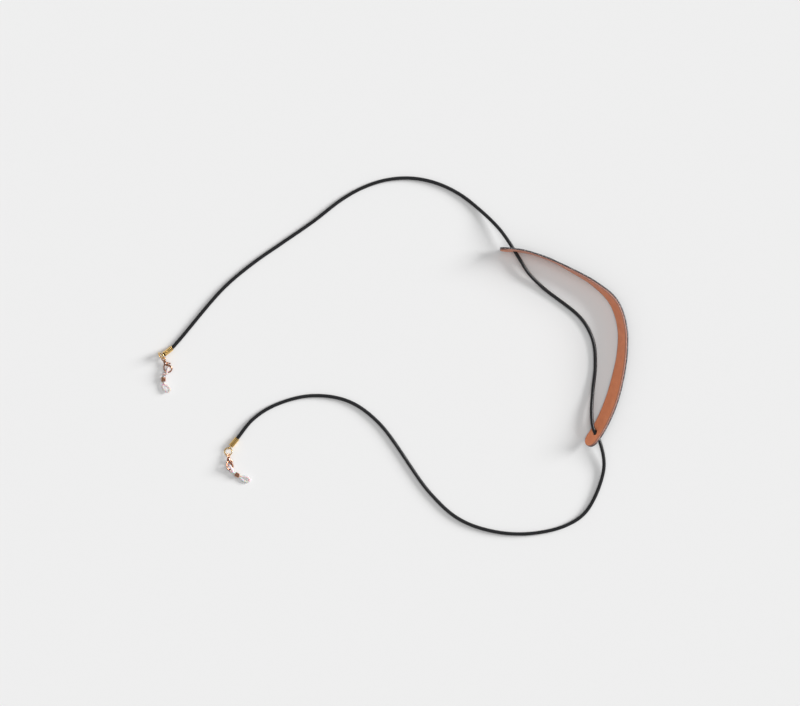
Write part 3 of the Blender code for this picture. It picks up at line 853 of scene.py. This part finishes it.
def clasp_placement(side):
    """Origin at the clasp's eye, Z along the lever's pivot, X from the eye to the hook."""
    eye = joint_point(f"{side}_clasp_swing")
    pivot = joint_point(f"{side}_lever_press")
    axis = joint_axis(f"{side}_lever_press")
    skew = Matrix.Rotation(-math.atan2(LEVER_PIVOT[1], LEVER_PIVOT[0]), 3, axis)
    return placement(eye, skew @ (pivot - eye), axis)


def make_clasp(side, mats):
    """Casting, gate lever and rivet."""
    place = clasp_placement(side)
    pivot = Vector((*LEVER_PIVOT, 0.0))

    bm = bmesh.new()
    add_bar(bm, CLASP_STATIONS, 8, 24)
    add_torus(bm, CLASP_EYE_RADIUS, CLASP_EYE_WIRE, Matrix.Identity(3))
    add_ball(bm, (0.4, 0.4, 0.42), (8.35, -1.4, 0.0))
    slot = bmesh.new()
    add_block(slot, CLASP_SLOT)
    bore = bmesh.new()
    add_cylinder(bore, LEVER_BORE_RADIUS, 2.0, pivot)
    casting = cast(f"{side}_clasp_casting", bm, [slot, bore])
    place_piece(casting, place, mats["rose"], f"{side}_clasp", f"{side}_clasp_body")

    bm = bmesh.new()
    add_bar(bm, LEVER_STATIONS, 8, 20)
    add_cylinder(bm, LEVER_HUB_RADIUS, LEVER_HALF_THICKNESS, pivot)
    add_ball(bm, (LEVER_KNOB_RADIUS, LEVER_KNOB_RADIUS, 0.42), (*LEVER_KNOB, 0.0))
    add_ball(bm, (0.34, 0.34, 0.36), (7.5, -1.6, 0.0))
    bore = bmesh.new()
    add_cylinder(bore, LEVER_BORE_RADIUS, 2.0, pivot)
    gate = cast(f"{side}_gate_lever", bm, [bore])
    place_piece(gate, place, mats["rose"], f"{side}_lever", f"{side}_clasp_lever")

    half = [(RIVET_HALF_LENGTH + z, radius) for z, radius in RIVET_HEAD]
    profile = [(-z, radius) for z, radius in reversed(half)] + half
    bm = bmesh.new()
    add_turned(bm, profile, Matrix.Translation(pivot), 32)
    rivet = raw_object(f"{side}_rivet", bm)
    place_piece(rivet, place, mats["steel"], f"{side}_clasp", f"{side}_lever_pin", 50.0)


def make_loop(side, mats):
    """Silicone loop: the CAD strand's own corners, rounded by subdivision."""
    node = f"{side}_temple_loop"
    bm = bmesh.new()
    bm.from_mesh(frame["nodes"][node].data)
    bmesh.ops.remove_doubles(bm, verts=bm.verts, dist=1e-7)
    bmesh.ops.join_triangles(
        bm,
        faces=bm.faces,
        angle_face_threshold=math.radians(40.0),
        angle_shape_threshold=math.radians(60.0),
    )
    loop = raw_object(f"{side}_silicone_loop", bm)
    soft = loop.modifiers.new("round", "SUBSURF")
    soft.levels = 2
    soft.render_levels = 2
    settle(loop)
    dress(loop, mats["silicone"], f"{side}_loop", node)


def make_collar(side, mats):
    """Thin sleeve with rolled rims."""
    end = COLLAR_HALF_LENGTH
    middle = (COLLAR_BORE + COLLAR_OUTER) / 2
    wall = (COLLAR_OUTER - COLLAR_BORE) / 2
    profile = []
    for sign in (-1.0, 1.0):
        for a in np.linspace(0.0, math.pi, COLLAR_ROUND_POINTS):
            z = end - COLLAR_ROUND + COLLAR_ROUND * math.sin(a)
            profile.append((sign * z, middle + sign * wall * math.cos(a)))
    bm = bmesh.new()
    axis = joint_axis(f"{side}_collar_slide")
    place = Matrix.Translation(node_middle(f"{side}_collar")) @ (
        UP.rotation_difference(axis).to_matrix().to_4x4()
    )
    add_turned(bm, profile, sides=64)
    collar = raw_object(f"{side}_sleeve", bm)
    place_piece(collar, place, mats["rose"], f"{side}_slider", f"{side}_collar", 50.0)


def paint_springs(mats):
    """The leaf springs are the CAD's own solids."""
    for side in SIDES:
        spring = frame["nodes"][f"{side}_lever_spring"]
        spring.data.materials.clear()
        spring.data.materials.append(mats["steel"])


# ---------------------------------------------------------------- stage


def make_camera():
    data = bpy.data.cameras.new("camera")
    data.sensor_width = SENSOR_WIDTH
    data.lens = SENSOR_WIDTH * CAMERA_HEIGHT / VIEW_WIDTH
    data.clip_start = 0.1
    data.clip_end = 4.0 * FLOOR_SIZE
    camera = bpy.data.objects.new("camera", data)
    camera.location = (*VIEW_CENTRE, CAMERA_HEIGHT)
    bpy.context.scene.collection.objects.link(camera)
    bpy.context.scene.camera = camera


def make_stage(mats):
    bm = bmesh.new()
    bmesh.ops.create_grid(bm, x_segments=1, y_segments=1, size=FLOOR_SIZE / 2)
    floor = raw_object("floor", bm)
    floor.data.materials.append(mats["floor"])

    for name, (azimuth_deg, elevation_deg, spread_deg, strength, mirrored) in LIGHTS.items():
        data = bpy.data.lights.new(name, "SUN")
        data.energy = strength
        data.angle = math.radians(spread_deg)
        light = bpy.data.objects.new(name, data)
        light.visible_glossy = mirrored
        azimuth = math.radians(azimuth_deg)
        elevation = math.radians(elevation_deg)
        towards = Vector(
            (
                math.cos(elevation) * math.cos(azimuth),
                math.cos(elevation) * math.sin(azimuth),
                math.sin(elevation),
            )
        )
        light.rotation_euler = towards.to_track_quat("Z", "Y").to_euler()
        bpy.context.scene.collection.objects.link(light)

    world = bpy.data.worlds.new("studio")
    world.use_nodes = True
    tree = world.node_tree
    back = tree.nodes["Background"]
    place = tree.nodes.new("ShaderNodeTexCoord")
    split = tree.nodes.new("ShaderNodeSeparateXYZ")
    shade = tree.nodes.new("ShaderNodeValToRGB")
    shade.color_ramp.elements[0].color = (HORIZON_LIGHT,) * 3 + (1.0,)
    shade.color_ramp.elements[1].color = (ZENITH_LIGHT,) * 3 + (1.0,)
    tree.links.new(place.outputs["Generated"], split.inputs["Vector"])
    tree.links.new(split.outputs["Z"], shade.inputs["Fac"])
    tree.links.new(shade.outputs["Color"], back.inputs["Color"])
    bpy.context.scene.world = world
    bpy.context.scene.view_settings.view_transform = "Standard"


def main():
    mats = make_materials()
    make_camera()
    make_cord(mats)
    make_band(mats)
    for side in SIDES:
        make_crimp(side, mats)
        make_ring(side, mats)
        make_clasp(side, mats)
        make_loop(side, mats)
        make_collar(side, mats)
    paint_springs(mats)
    make_stage(mats)


main()
